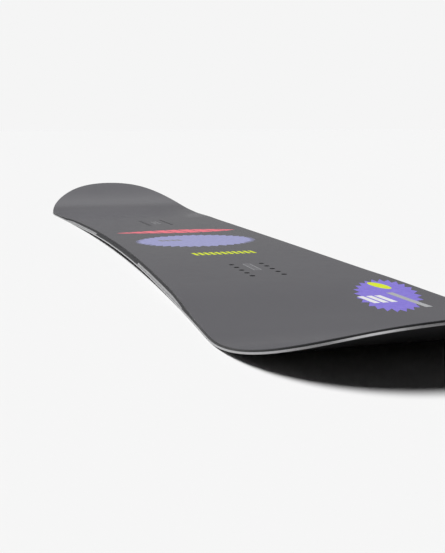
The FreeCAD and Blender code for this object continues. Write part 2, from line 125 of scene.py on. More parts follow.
# ---------------------------------------------------------------- node helpers
class Finish:
    """A procedural material around one Principled shader, built node by node."""

    def __init__(self, name, colour, roughness, metallic=0.0, specular=0.5):
        self.material = bpy.data.materials.new(name)
        self.material.use_nodes = True
        self.tree = self.material.node_tree
        self.shader = self.tree.nodes["Principled BSDF"]
        self.shader.inputs["Base Color"].default_value = (*colour, 1)
        self.shader.inputs["Roughness"].default_value = roughness
        self.shader.inputs["Metallic"].default_value = metallic
        self.shader.inputs["Specular IOR Level"].default_value = specular
        self.place = self.add("ShaderNodeTexCoord").outputs["Object"]

    def add(self, kind, **settings):
        node = self.tree.nodes.new(kind)
        for key, value in settings.items():
            setattr(node, key, value)
        return node

    def link(self, source, target):
        self.tree.links.new(source, target)

    def math(self, operation, first, second=0.0, third=0.0):
        node = self.add("ShaderNodeMath", operation=operation)
        for socket, value in zip(node.inputs, (first, second, third)):
            if isinstance(value, (int, float)):
                socket.default_value = value
            else:
                self.link(value, socket)
        return node.outputs[0]

    def noise(self, scale, stretch=(1, 1, 1), detail=3.0, roughness=0.55):
        """Noise in object space; scale is features a metre, stretch squeezes it axis by axis."""
        mapping = self.add("ShaderNodeMapping")
        mapping.inputs["Scale"].default_value = stretch
        self.link(self.place, mapping.inputs["Vector"])
        node = self.add("ShaderNodeTexNoise")
        node.inputs["Scale"].default_value = scale
        node.inputs["Detail"].default_value = detail
        node.inputs["Roughness"].default_value = roughness
        self.link(mapping.outputs[0], node.inputs["Vector"])
        return node.outputs["Fac"]

    def ramp(self, value, low, high, start=0.0, end=1.0):
        """Maps value from low..high to start..end, clamped."""
        node = self.add("ShaderNodeMapRange")
        sockets = ("From Min", "From Max", "To Min", "To Max")
        for socket, number in zip(sockets, (low, high, start, end)):
            node.inputs[socket].default_value = number
        self.link(value, node.inputs["Value"])
        return node.outputs[0]

    def mix(self, share, first, second):
        """A colour between two; each is a triple or another node's colour. The mix node's colour
        sockets go by number, because its sockets for other kinds of data have the same names."""
        node = self.add("ShaderNodeMix", data_type="RGBA")
        for socket, value in ((node.inputs[6], first), (node.inputs[7], second)):
            if isinstance(value, tuple):
                socket.default_value = (*value, 1)
            else:
                self.link(value, socket)
        self.link(share, node.inputs["Factor"])
        return node.outputs[2]

    def colour(self, output):
        self.link(output, self.shader.inputs["Base Color"])

    def roughness(self, output):
        self.link(output, self.shader.inputs["Roughness"])

    def bump(self, height, depth):
        """Relief of the given depth in metres."""
        node = self.add("ShaderNodeBump")
        node.inputs["Distance"].default_value = depth
        node.inputs["Strength"].default_value = 1
        self.link(height, node.inputs["Height"])
        self.link(node.outputs[0], self.shader.inputs["Normal"])

    def axis(self, letter):
        node = self.add("ShaderNodeSeparateXYZ")
        self.link(self.place, node.inputs[0])
        return node.outputs["XYZ".index(letter)]


def dark(colour, share):
    return tuple(channel * share for channel in colour)


# ---------------------------------------------------------------- finishes by slot
SIDE_CURVE = 0.0728  # about half the sidecut's curvature, per metre


def side_distance(finish):
    """How far a point is inside the board's side line, in metres, along the sidecut."""
    across = finish.math("ABSOLUTE", finish.axis("Y"))
    along = finish.axis("X")
    bulge = finish.math("MULTIPLY", finish.math("MULTIPLY", along, along), SIDE_CURVE)
    return finish.math("SUBTRACT", finish.math("ADD", bulge, HALF_WAIST * MM), across)


def topsheet_finish():
    """Satin charcoal plastic: faint mottling, a fine grain, light rubbing near the rim."""
    finish = Finish("topsheet_satin", (0.09, 0.089, 0.098), 0.3)
    mottle = finish.noise(9, detail=4)
    grain = finish.noise(2600, detail=2)
    base = finish.mix(finish.ramp(mottle, 0.3, 0.7), (0.072, 0.070, 0.081), (0.080, 0.078, 0.089))
    grained = finish.mix(finish.ramp(grain, 0.35, 0.65, 0, 0.35), base, (0.096, 0.094, 0.106))
    near_rim = finish.ramp(side_distance(finish), 0.003, 0.012, 1, 0)
    scuffs = finish.ramp(finish.noise(220, (0.25, 1, 1), detail=5), 0.55, 0.7, 0, 0.25)
    rubbed = finish.math("MULTIPLY", near_rim, scuffs)
    finish.colour(finish.mix(rubbed, grained, (0.15, 0.148, 0.155)))
    finish.roughness(finish.ramp(finish.noise(60, detail=6), 0.3, 0.7, 0.19, 0.25))
    finish.bump(grain, 0.000006)
    return finish.material


def sidewall_finish():
    """Dark plastic with the lengthwise streaks of the machine that planed it."""
    finish = Finish("sidewall_planed", (0.03, 0.03, 0.032), 0.55, specular=0.3)
    streak = finish.noise(90, (0.08, 4, 14), detail=4)
    shade = finish.ramp(streak, 0.3, 0.7)
    finish.colour(finish.mix(shade, (0.034, 0.034, 0.037), (0.058, 0.058, 0.062)))
    finish.roughness(finish.ramp(streak, 0.3, 0.7, 0.48, 0.66))
    finish.bump(streak, 0.00005)
    return finish.material


def damper_finish():
    """Light grey urethane, planed flush with the sidewall."""
    finish = Finish("damper_urethane", (0.55, 0.55, 0.56), 0.5, specular=0.3)
    streak = finish.noise(110, (0.1, 4, 12), detail=4)
    cloud = finish.noise(35, detail=3)
    plain = finish.mix(finish.ramp(cloud, 0.3, 0.7), (0.5, 0.5, 0.51), (0.58, 0.58, 0.585))
    finish.colour(finish.mix(finish.ramp(streak, 0.4, 0.75, 0, 0.4), plain, (0.4, 0.4, 0.41)))
    finish.roughness(finish.ramp(streak, 0.3, 0.7, 0.42, 0.6))
    finish.bump(streak, 0.00004)
    return finish.material


def edge_finish():
    """Ground steel: grinding lines along the edge, small dull patches."""
    finish = Finish("edge_steel_ground", (0.46, 0.46, 0.47), 0.3, metallic=1.0)
    lines = finish.noise(240, (0.05, 4, 10), detail=5)
    patches = finish.noise(45, detail=5)
    ground = finish.mix(finish.ramp(lines, 0.3, 0.7), (0.4, 0.4, 0.41), (0.52, 0.52, 0.53))
    finish.colour(finish.mix(finish.ramp(patches, 0.55, 0.75, 0, 0.5), ground, (0.34, 0.335, 0.33)))
    finish.roughness(finish.ramp(lines, 0.3, 0.7, 0.26, 0.38))
    finish.bump(lines, 0.00002)
    return finish.material


def base_finish():
    """Black sintered plastic, stone ground: fine crossing grooves along the board."""
    finish = Finish("base_stone_ground", (0.008, 0.008, 0.009), 0.48, specular=0.25)
    grooves = finish.noise(1300, (0.02, 1, 1), detail=2)
    crossing = finish.add("ShaderNodeTexWave", wave_type="BANDS", bands_direction="Y")
    turned = finish.add("ShaderNodeMapping")
    turned.inputs["Rotation"].default_value = (0, 0, math.radians(9))
    finish.link(finish.place, turned.inputs["Vector"])
    finish.link(turned.outputs[0], crossing.inputs["Vector"])
    crossing.inputs["Scale"].default_value = 130
    crossing.inputs["Distortion"].default_value = 1.5
    relief = finish.math("MULTIPLY_ADD", crossing.outputs["Fac"], 0.35, grooves)
    haze = finish.ramp(finish.noise(14, detail=5), 0.35, 0.7)
    finish.colour(finish.mix(haze, (0.005, 0.005, 0.0055), (0.010, 0.010, 0.011)))
    finish.roughness(finish.ramp(relief, 0.4, 1.0, 0.4, 0.6))
    finish.bump(relief, 0.00003)
    return finish.material


def laminate_finish():
    """Glass cloth in black-tinted resin: a fine square weave under a clear skin."""
    finish = Finish("laminate_tinted", (0.02, 0.021, 0.021), 0.4, specular=0.4)
    threads = []
    for direction in ("X", "Y"):
        wave = finish.add("ShaderNodeTexWave", wave_type="BANDS", bands_direction=direction)
        wave.inputs["Scale"].default_value = 210
        wave.inputs["Distortion"].default_value = 0.4
        finish.link(finish.place, wave.inputs["Vector"])
        threads.append(wave.outputs["Fac"])
    weave = finish.math("MULTIPLY", *threads)
    finish.colour(finish.mix(weave, (0.012, 0.012, 0.013), (0.034, 0.036, 0.036)))
    finish.roughness(finish.ramp(finish.noise(80, detail=4), 0.3, 0.7, 0.32, 0.5))
    finish.bump(weave, 0.00004)
    return finish.material


def plain_black_finish(name, low, high, rough, grain):
    """Black moulded plastic or rubber with a slight cloud and a fine grain."""
    finish = Finish(name, high, rough, specular=0.35)
    cloud = finish.noise(40, detail=4)
    fine = finish.noise(grain, detail=3)
    finish.colour(finish.mix(finish.ramp(cloud, 0.3, 0.7), low, high))
    finish.roughness(finish.ramp(fine, 0.3, 0.7, rough - 0.08, rough + 0.08))
    finish.bump(fine, 0.00003)
    return finish.material


def glass_mat_finish():
    """Pale bonded glass mat: short fibres lying every way."""
    finish = Finish("glass_mat_fibres", (0.55, 0.55, 0.48), 0.6)
    fibres = finish.add("ShaderNodeTexVoronoi", feature="DISTANCE_TO_EDGE")
    fibres.inputs["Scale"].default_value = 420
    finish.link(finish.place, fibres.inputs["Vector"])
    strand = finish.ramp(fibres.outputs["Distance"], 0.02, 0.2, 1, 0)
    finish.colour(finish.mix(strand, (0.42, 0.43, 0.36), (0.66, 0.66, 0.6)))
    finish.roughness(finish.ramp(strand, 0, 1, 0.68, 0.5))
    finish.bump(strand, 0.00006)
    return finish.material


def insert_finish():
    """Turned stainless steel, dulled where it was bonded in."""
    finish = Finish("insert_turned_steel", (0.5, 0.5, 0.51), 0.35, metallic=1.0)
    rings = finish.noise(900, (0.2, 0.2, 4), detail=3)
    film = finish.noise(300, detail=5)
    bright = finish.mix(finish.ramp(rings, 0.3, 0.7), (0.4, 0.4, 0.41), (0.58, 0.58, 0.59))
    finish.colour(finish.mix(finish.ramp(film, 0.5, 0.7, 0, 0.6), bright, (0.2, 0.2, 0.2)))
    finish.roughness(finish.ramp(rings, 0.3, 0.7, 0.28, 0.5))
    finish.bump(rings, 0.00002)
    return finish.material


def wood_finish(name, early, late):
    """Upright-grained wood: long wavering growth lines and short pores."""
    finish = Finish(name, early, 0.6, specular=0.25)
    lines = finish.add("ShaderNodeTexWave", wave_type="BANDS", bands_direction="Y")
    stretch = finish.add("ShaderNodeMapping")
    stretch.inputs["Scale"].default_value = (0.06, 1, 1)
    finish.link(finish.place, stretch.inputs["Vector"])
    finish.link(stretch.outputs[0], lines.inputs["Vector"])
    for socket, value in (("Scale", 90), ("Distortion", 5), ("Detail", 3), ("Detail Scale", 1.4)):
        lines.inputs[socket].default_value = value
    pores = finish.noise(900, (0.05, 1, 1), detail=2)
    grown = finish.mix(finish.ramp(lines.outputs["Fac"], 0.2, 0.9), early, late)
    finish.colour(finish.mix(finish.ramp(pores, 0.6, 0.75, 0, 0.5), grown, dark(late, 0.6)))
    finish.roughness(finish.ramp(pores, 0.3, 0.7, 0.5, 0.72))
    finish.bump(pores, 0.00005)
    return finish.material


FINISHES = {
    "topsheet": topsheet_finish(),
    "glass_laminate": laminate_finish(),
    "base": base_finish(),
    "tip_fill": plain_black_finish(
        "tip_fill_abs", (0.012, 0.012, 0.013), (0.024, 0.024, 0.026), rough=0.5, grain=700),
    "glass_mat": glass_mat_finish(),
    "insert_steel": insert_finish(),
    "edge_steel": edge_finish(),
    "rubber_foil": plain_black_finish(
        "foil_rubber", (0.012, 0.012, 0.012), (0.03, 0.03, 0.03), rough=0.75, grain=1400),
    "damping_strip": damper_finish(),
    "sidewall": sidewall_finish(),
    "core_dark_wood": wood_finish("core_beech", (0.36, 0.2, 0.1), (0.22, 0.11, 0.05)),
    "core_light_wood": wood_finish("core_poplar", (0.62, 0.46, 0.28), (0.46, 0.31, 0.17)),
}
for part in frame["record"]["subparts"]:
    cad_node = frame["nodes"][part["node"]]
    cad_node.data.materials.clear()
    cad_node.data.materials.append(FINISHES[part["material_slot"]])


# ---------------------------------------------------------------- the board's lines
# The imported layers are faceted, some to about a third of a millimetre. What shows of the board is
# built here again on the same lines, smooth, and stands for those layers.
TIP_STEPS = 44
SIDE_PITCH = 6
STATION_TOLERANCE = 0.01


def bezier(poles, t):
    weights = ((1 - t) ** 3, 3 * t * (1 - t) ** 2, 3 * t**2 * (1 - t), t**3)
    return sum(weight * pole for weight, pole in zip(weights, poles))


def base_height(x):
    """Height of the running surface over the floor."""
    x = abs(x)
    if x <= CAMBER_REACH / 2:
        return CAMBER - CAMBER_RADIUS + math.sqrt(CAMBER_RADIUS**2 - x**2)
    if x <= CAMBER_REACH:
        return CAMBER_RADIUS - math.sqrt(CAMBER_RADIUS**2 - (CAMBER_REACH - x) ** 2)
    run = max(0, x - KICK_START)
    arc_run = KICK_RADIUS * math.sin(KICK_ANGLE)
    if run <= arc_run:
        return KICK_RADIUS - math.sqrt(KICK_RADIUS**2 - run**2)
    return KICK_RADIUS * (1 - math.cos(KICK_ANGLE)) + (run - arc_run) * math.tan(KICK_ANGLE)


def base_tilt(x):
    """Slope angle of the running surface in the tips."""
    run = max(0, abs(x) - KICK_START)
    return min(KICK_ANGLE, math.asin(min(1, run / KICK_RADIUS)))


def thickness(x):
    """The board's thickness, measured straight up."""
    x = abs(x)
    if x <= TAPER_START:
        return MIDDLE_THICKNESS
    if x >= TAPER_END:
        return TIP_THICKNESS
    run = CAMBER_REACH - TAPER_START
    slope = -run / math.sqrt(CAMBER_RADIUS**2 - run**2)
    start_height = base_height(TAPER_START) + MIDDLE_THICKNESS
    third = (TAPER_END - TAPER_START) / 3
    poles = (start_height, start_height + slope * third, TIP_THICKNESS, TIP_THICKNESS)
    return bezier(poles, (x - TAPER_START) / (TAPER_END - TAPER_START)) - base_height(x)


def side_station(x):
    """A point of the sidecut with its outward direction: x, y, nx, ny."""
    rise = math.sqrt(SIDECUT_RADIUS**2 - x**2)
    slope = x / rise
    length = math.hypot(slope, 1)
    return (x, HALF_WAIST + SIDECUT_RADIUS - rise, -slope / length, 1 / length)


def tip_station(t, along):
    """A point of a tip's outline, from the sidecut's end at t 0 to the middle of the tip at t 1."""
    xs = (SIDECUT_END, SIDECUT_END + SHOULDER, HALF_LENGTH, HALF_LENGTH)
    ys = (SIDECUT_HALF, SIDECUT_HALF + SHOULDER * SIDECUT_SLOPE, BLUNTNESS, 0)
    step = 1e-4
    before = max(0, t - step)
    after = min(1, t + step)
    dx = bezier(xs, after) - bezier(xs, before)
    dy = bezier(ys, after) - bezier(ys, before)
    length = math.hypot(dx, dy)
    return (along * bezier(xs, t), bezier(ys, t), -along * dy / length, dx / length)


def tip_share(x):
    """Where along a tip's outline a station lies."""
    low, high = 0, 1
    for _ in range(40):
        middle = (low + high) / 2
        if tip_station(middle, 1)[0] < x:
            low = middle
        else:
            high = middle
    return low


def half_width(x):
    """Half the board's width at a station."""
    if abs(x) <= SIDECUT_END:
        return side_station(x)[1]
    return tip_station(tip_share(abs(x)), 1)[1]


# The half steps put a station at both sides of every tang slot.
side_steps = math.ceil(SIDECUT_END / SIDE_PITCH)
grid = {SIDE_PITCH * step + SIDE_PITCH / 2 for step in range(-side_steps, side_steps)}
breaks = {along * x for along in (-1, 1)
          for x in (DAMPER_START, DAMPER_SLOPE, DAMPER_STOP, TAPER_START, TAPER_END, SIDECUT_END)}
side_line = [side_station(x) for x in sorted(breaks | grid)]
tip_shares = sorted({step / TIP_STEPS for step in range(1, TIP_STEPS + 1)} | {tip_share(CORE_END)})
nose_line = [tip_station(t, 1) for t in tip_shares]
tail_line = [tip_station(t, -1) for t in reversed(tip_shares)]
LEFT_LINE = tail_line + side_line + nose_line


def between(low, high):
    """The outline's stations from one x to another."""
    return [s for s in LEFT_LINE if low - STATION_TOLERANCE <= s[0] <= high + STATION_TOLERANCE]


def rim_inset(x, height, setback):
    """How far inside the outline a wall point lies at a height over the base: the sides lean, and
    the lean and the setback fade out in the tips."""
    ease = min(1, max(0, (abs(x) - KICK_START) / LEAN_FADE))
    return max(setback, (height - EDGE_TOP) * LEAN) * (1 - ease * ease * (3 - 2 * ease))


def board_point(station, inset, height, across=1):
    """A point inset from the outline, at a height over the base; walls stand square to the base."""
    x = station[0] - station[2] * inset
    tilt = base_tilt(x)
    x -= math.copysign(height * math.cos(tilt) * math.sin(tilt), x)
    y = max(0, station[1] - station[3] * inset)
    return (x * MM, across * y * MM, (base_height(x) + height) * MM)


# ---------------------------------------------------------------- meshes
MERGE_DISTANCE = 1e-6
SHARP_ANGLE = math.radians(24)
SHEET_EPSILON = 1e-8
HOLE_TURNS = 24
HOLE_FILL = 0.985  # share of a hole's radius within which a triangle's centre means that it fills it
COLUMN_PITCH = 12
LAST_COLUMN = 62
ROWS = 5
RIM_CLEARANCE = 9


def finished_piece(name, verts, faces, slot, nodes):
    """A closed mesh that stands for CAD nodes, smooth except at its edges."""
    mesh = bpy.data.meshes.new(name)
    mesh.from_pydata(verts, [], faces)
    work = bmesh.new()
    work.from_mesh(mesh)
    bmesh.ops.remove_doubles(work, verts=work.verts, dist=MERGE_DISTANCE)
    bmesh.ops.recalc_face_normals(work, faces=work.faces)
    work.to_mesh(mesh)
    work.free()
    mesh.polygons.foreach_set("use_smooth", [True] * len(mesh.polygons))
    mesh.set_sharp_from_angle(angle=SHARP_ANGLE)
    mesh.materials.append(FINISHES[slot])
    piece = bpy.data.objects.new(name, mesh)
    scene.collection.objects.link(piece)
    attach(piece, "root")
    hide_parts(*nodes)


def swept(stations, profiles, across):
    """A closed bar along the outline. profiles gives one or two cross-sections at a station,
    each a loop of (inset, height) pairs; two are a step."""
    verts = []
    rings = []
    for station in stations:
        for profile in profiles(station):
            rings.append(range(len(verts), len(verts) + len(profile)))
            verts += [board_point(station, inset, height, across) for inset, height in profile]
    faces = [tuple(rings[0]), tuple(reversed(rings[-1]))]
    for near, far in zip(rings, rings[1:]):
        for index, after in ring_edges(0, len(near)):
            faces.append((near[index], far[index], far[after], near[after]))
    return verts, faces


def joined(shells):
    """Several meshes as one."""
    verts = []
    faces = []
    for more_verts, more_faces in shells:
        faces += [tuple(len(verts) + index for index in face) for face in more_faces]
        verts += more_verts
    return verts, faces


def inside(point, outline):
    """Whether a plan point lies in a closed outline."""
    x, y = point
    odd = False
    for (ax, ay), (bx, by) in zip(outline, outline[1:] + outline[:1]):
        if (ay > y) != (by > y) and x < (bx - ax) * (y - ay) / (by - ay) + ax:
            odd = not odd
    return odd


def ring_edges(first, count):
    """The edges of a closed ring of points, by index."""
    return [(first + step, first + (step + 1) % count) for step in range(count)]


def hole_rim(x, y, radius):
    """A round hole's rim in plan."""
    rim = []
    for step in range(HOLE_TURNS):
        angle = 2 * math.pi * step / HOLE_TURNS
        rim.append(Vector(((x + radius * math.cos(angle)) * MM, (y + radius * math.sin(angle)) * MM)))
    return rim


def inner_points(holes, hole_radius):
    """Plan points that hold a sheet to the board's curve, clear of its rim and its holes."""
    points = []
    for column in range(-LAST_COLUMN, LAST_COLUMN + 1):
        x = column * COLUMN_PITCH
        width = half_width(x)
        for row in range(-ROWS, ROWS + 1):
            y = row * width / (ROWS + 0.5)
            at_hole = any(math.hypot(x - hx, y - hy) < 2 * hole_radius for hx, hy in holes)
            if abs(y) <= width - RIM_CLEARANCE and not at_hole:
                points.append(Vector((x * MM, y * MM)))
    return points


def slab(levels, holes=(), hole_radius=0.0):
    """A closed sheet over the whole outline. levels go from its underside to its top, each a pair
    of functions of x: the inset and the height over the base."""
    loops = []
    for inset_at, height_at in levels:
        left = [board_point(s, inset_at(s[0]), height_at(s[0])) for s in LEFT_LINE]
        right = [(x, -y, z) for x, y, z in left[-2:0:-1]]
        loops.append(left + right)
    size = len(loops[0])
    plan = [Vector(point[:2]) for point in loops[0]]
    edges = ring_edges(0, size)
    for x, y in holes:
        edges += ring_edges(len(plan), HOLE_TURNS)
        plan += hole_rim(x, y, hole_radius)
    fixed = len(plan)
    plan += inner_points(holes, hole_radius)
    flat, _, triangles, found, _, _ = delaunay_2d_cdt(plan, edges, [], 0, SHEET_EPSILON)
    origin = [sources[0] if sources else None for sources in found]
    outline = [tuple(p) for p in plan[:size]]

    def kept(face):
        centre = sum((flat[index] for index in face), Vector((0, 0))) / 3
        for x, y in holes:
            if math.hypot(centre.x - x * MM, centre.y - y * MM) < hole_radius * MM * HOLE_FILL:
                return False
        return inside(tuple(centre), outline)

    verts = []
    ends = []
    for loop, height_at in ((loops[0], levels[0][1]), (loops[-1], levels[-1][1])):
        ends.append(len(verts))
        for point, source in zip(flat, origin):
            if source is not None and source < size:
                verts.append(loop[source])
            else:
                x = point.x / MM
                verts.append((point.x, point.y, (base_height(x) + height_at(x)) * MM))
    bottom, top = ends
    faces = []
    for a, b, c in filter(kept, triangles):
        if (flat[b] - flat[a]).cross(flat[c] - flat[a]) < 0:
            b, c = c, b
        faces.append((top + a, top + b, top + c))
        faces.append((bottom + a, bottom + c, bottom + b))
    place = {source: index for index, source in enumerate(origin) if source is not None}
    rows = [[bottom + place[index] for index in range(size)]]
    for loop in loops[1:-1]:
        rows.append(list(range(len(verts), len(verts) + size)))
        verts += loop
    rows.append([top + place[index] for index in range(size)])
    for low, high in zip(rows, rows[1:]):
        for index, after in ring_edges(0, size):
            faces.append((low[index], low[after], high[after], high[index]))
    for first in range(size, fixed, HOLE_TURNS):
        for start, end in ring_edges(first, HOLE_TURNS):
            a, b = place[start], place[end]
            faces.append((bottom + a, top + a, top + b, bottom + b))
    return verts, faces


# ---------------------------------------------------------------- the layers that show
def constant(value):
    return lambda x: value


def wall_height(drop):
    """The height over the base of what lies a drop under the board's top, as a function of x."""
    return lambda x: thickness(x) - drop


def leaned(height_at, setback, extra=0.0):
    return lambda x: rim_inset(x, height_at(x), setback) + extra


crest = wall_height(0)
shoulder = wall_height(RIM_ROUND)
under = wall_height(SKIN)
roof = wall_height(SKIN + LAMINATE)
finished_piece("topsheet_smooth", *slab([
    (leaned(under, SKIN_SETBACK), under), (leaned(shoulder, SKIN_SETBACK), shoulder),
    (leaned(crest, SKIN_SETBACK, RIM_ROUND), crest),
], HOLES, HOLE_RADIUS), "topsheet", ["topsheet"])
finished_piece("top_glass_smooth", *slab([
    (leaned(roof, LAMINATE_SETBACK), roof), (leaned(under, LAMINATE_SETBACK), under),
], HOLES, HOLE_RADIUS), "glass_laminate", ["top_glass_laminate"])
finished_piece("base_smooth", *slab([
    (constant(EDGE_WIDTH), constant(0)), (constant(EDGE_WIDTH), constant(BASE_THICKNESS)),
]), "base", ["base_sheet"])


def damped(x):
    """Whether a station lies within a damping strip's length."""
    return DAMPER_START < abs(x) < DAMPER_STOP


def damper_roof(x):
    """The damping strip's height over the base: level, then sloping down to its far end."""
    share = max(0, (abs(x) - DAMPER_SLOPE) / (DAMPER_STOP - DAMPER_SLOPE))
    return DAMPER_ROOF + (DAMPER_END_ROOF - DAMPER_ROOF) * share


def stepped(plain, notched):
    """Cross-sections that change from plain to notched where a damping strip starts and ends."""
    def profiles(station):
        x = station[0]
        if abs(x) in (DAMPER_START, DAMPER_STOP):
            entering = (abs(x) == DAMPER_START) == (x > 0)
            pair = [plain(x), notched(x)]
            return pair if entering else pair[::-1]
        return [notched(x) if damped(x) else plain(x)]
    return profiles


def border(outer):
    """The laminate's border over the foils, with its outer side at an inset."""
    return lambda x: [(outer, EDGE_TOP), (WALL_DEPTH, EDGE_TOP),
                      (WALL_DEPTH, RIM_FLOOR), (outer, RIM_FLOOR)]


def plain_wall(x):
    """The sidewall's section. Its foot comes three times, to pair with the notched section's points."""
    foot = (RIM_SETBACK, RIM_FLOOR)
    crown = thickness(x) - SKIN - LAMINATE
    return [(WALL_DEPTH, RIM_FLOOR), foot, foot, foot,
            (rim_inset(x, crown, RIM_SETBACK), crown), (WALL_DEPTH, crown)]


def notched_wall(x):
    """The sidewall's section over a damping strip."""
    notch = damper_roof(x)
    crown = thickness(x) - SKIN - LAMINATE
    return [(WALL_DEPTH, RIM_FLOOR), (DAMPER_DEPTH, RIM_FLOOR), (DAMPER_DEPTH, notch),
            (rim_inset(x, notch, RIM_SETBACK), notch),
            (rim_inset(x, crown, RIM_SETBACK), crown), (WALL_DEPTH, crown)]


def damper_profile(station):
    """A damping strip's section: upright at its foot, then leaning with the sidewall."""
    x = station[0]
    notch = damper_roof(x)
    return [[(DAMPER_DEPTH, EDGE_TOP), (RIM_SETBACK, EDGE_TOP),
             (RIM_SETBACK, EDGE_TOP + RIM_SETBACK / LEAN),
             (rim_inset(x, notch, RIM_SETBACK), notch), (DAMPER_DEPTH, notch)]]


def edge_profile(reach):
    """A steel edge's section: a square bar with its outer corners broken, and its thin tang."""
    return [(EDGE_BREAK, 0), (EDGE_WIDTH, 0), (EDGE_WIDTH, BASE_THICKNESS), (reach, BASE_THICKNESS),
            (reach, TANG_TOP), (EDGE_WIDTH, TANG_TOP), (EDGE_WIDTH, EDGE_TOP), (EDGE_BREAK, EDGE_TOP),
            (0, EDGE_TOP - EDGE_BREAK), (0, EDGE_BREAK)]


def edge_profiles(station):
    """The edge's section at a station; at each side of a slot the tang steps in or out."""
    x = station[0]
    slot = round(x / SLOT_PITCH)
    away = x - slot * SLOT_PITCH
    if abs(slot) > LAST_SLOT or abs(away) > SLOT_HALF:
        return [edge_profile(TANG_REACH)]
    if abs(away) < SLOT_HALF:
        return [edge_profile(TANG_NARROW)]
    pair = [edge_profile(TANG_REACH), edge_profile(TANG_NARROW)]
    return pair if away < 0 else pair[::-1]


wall_line = between(-CORE_END, CORE_END)
wall_profiles = stepped(plain_wall, notched_wall)
floor_profiles = stepped(border(RIM_SETBACK), border(DAMPER_DEPTH))
damper_spans = {"nose": (DAMPER_START, DAMPER_STOP), "tail": (-DAMPER_STOP, -DAMPER_START)}
shells = [slab([(constant(FOIL_REACH), constant(BASE_THICKNESS)),
                (constant(FOIL_REACH), constant(EDGE_TOP))])]
for side, across in (("left", 1), ("right", -1)):
    shells.append(swept(LEFT_LINE, floor_profiles, across))
    finished_piece(f"steel_edge_{side}_smooth", *swept(LEFT_LINE, edge_profiles, across),
                   "edge_steel", [f"steel_edge_{side}"])
    finished_piece(f"sidewall_{side}_smooth", *swept(wall_line, wall_profiles, across),
                   "sidewall", [f"sidewall_{side}"])
    for end, span in damper_spans.items():
        finished_piece(f"damping_strip_{side}_{end}_smooth",
                       *swept(between(*span), damper_profile, across),
                       "damping_strip", [f"damping_strip_{side}_{end}"])
finished_piece("bottom_glass_smooth", *joined(shells), "glass_laminate", ["bottom_glass_laminate"])


# ---------------------------------------------------------------- printed marks
PRINT_GRID = 4 * MM
PRINT_RISE = 0.03 * MM
PRINT_SINK = 0.03 * MM
LAYER_RISE = 0.02 * MM
CLEAR_SHARE = 0.35
MARK_EPSILON = 1e-7
TOOTH_LEAST = 0.6


def divided(outline):
    """The outline with its long runs split at the print grid's pitch."""
    points = []
    for (ax, ay), (bx, by) in zip(outline, outline[1:] + outline[:1]):
        steps = max(1, math.ceil(math.dist((ax, ay), (bx, by)) / PRINT_GRID))
        for step in range(steps):
            share = step / steps
            points.append((ax + (bx - ax) * share, ay + (by - ay) * share))
    return points


def grid_points(rim):
    """The print grid's points that lie in a rim and clear of it."""
    points = []
    xs, ys = zip(*rim)
    for column in range(math.ceil(min(xs) / PRINT_GRID), math.floor(max(xs) / PRINT_GRID) + 1):
        for row in range(math.ceil(min(ys) / PRINT_GRID), math.floor(max(ys) / PRINT_GRID) + 1):
            point = (column * PRINT_GRID, row * PRINT_GRID)
            clear = min(math.dist(point, other) for other in rim) > PRINT_GRID * CLEAR_SHARE
            if clear and inside(point, rim):
                points.append(point)
    return points


def film(outline, rise):
    """A closed film over a plan outline in metres: it rises over the topsheet and sinks into it."""
    rim = divided(outline)
    points = [Vector(p) for p in rim + grid_points(rim)]
    flat, _, triangles, *_ = delaunay_2d_cdt(points, [], [list(range(len(rim)))], 1, MARK_EPSILON)
    count = len(flat)
    heights = [(base_height(p.x / MM) + thickness(p.x / MM)) * MM for p in flat]
    verts = [(p.x, p.y, z + rise) for p, z in zip(flat, heights)]
    verts += [(p.x, p.y, z - PRINT_SINK) for p, z in zip(flat, heights)]
    faces = []
    used = {}
    for a, b, c in triangles:
        upward = (flat[b] - flat[a]).cross(flat[c] - flat[a]) >= 0
        corners = (a, b, c) if upward else (a, c, b)
        faces.append(corners)
        faces.append(tuple(count + index for index in reversed(corners)))
        for edge in zip(corners, corners[1:] + corners[:1]):
            used[edge] = True
    for start, end in used:
        if (end, start) not in used:
            faces.append((end, start, count + start, count + end))
    return verts, faces


def print_mark(name, outlines, finish, layer=0):
    """Ink on the topsheet, from plan outlines in millimetres. Layer 1 lies over layer 0."""
    rise = PRINT_RISE + layer * LAYER_RISE
    films = [film([(x * MM, y * MM) for x, y in outline], rise) for outline in outlines]
    verts, faces = joined(films)
    mesh = bpy.data.meshes.new(name)
    mesh.from_pydata(verts, [], faces)
    mesh.validate()
    mesh.materials.append(finish)
    piece = bpy.data.objects.new(name, mesh)
    scene.collection.objects.link(piece)
    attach(piece, "root")


def ink(name, colour):
    """Screen-printed ink: slightly uneven cover, fine dots, the topsheet's satin."""
    finish = Finish(name, colour, 0.5, specular=0.35)
    cover = finish.noise(160, detail=5)
    dots = finish.noise(1900, detail=1)
    uneven = finish.mix(finish.ramp(cover, 0.35, 0.75), colour, dark(colour, 0.86))
    finish.colour(finish.mix(finish.ramp(dots, 0.6, 0.75, 0, 0.3), uneven, dark(colour, 0.6)))
    finish.roughness(finish.ramp(cover, 0.3, 0.7, 0.44, 0.6))
    finish.bump(dots, 0.00001)
    return finish.material


CORAL = ink("ink_coral", (0.86, 0.19, 0.24))
LAVENDER = ink("ink_lavender", (0.345, 0.35, 0.59))
PURPLE = ink("ink_purple", (0.24, 0.19, 0.66))
OLIVE = ink("ink_olive", (0.22, 0.22, 0.20))
YELLOW = ink("ink_yellow", (0.70, 0.80, 0.03))
WHITE = ink("ink_white", (0.82, 0.83, 0.82))
PALE = ink("ink_pale_grey", (0.42, 0.43, 0.44))
DIM = ink("ink_dim_grey", (0.27, 0.27, 0.285))


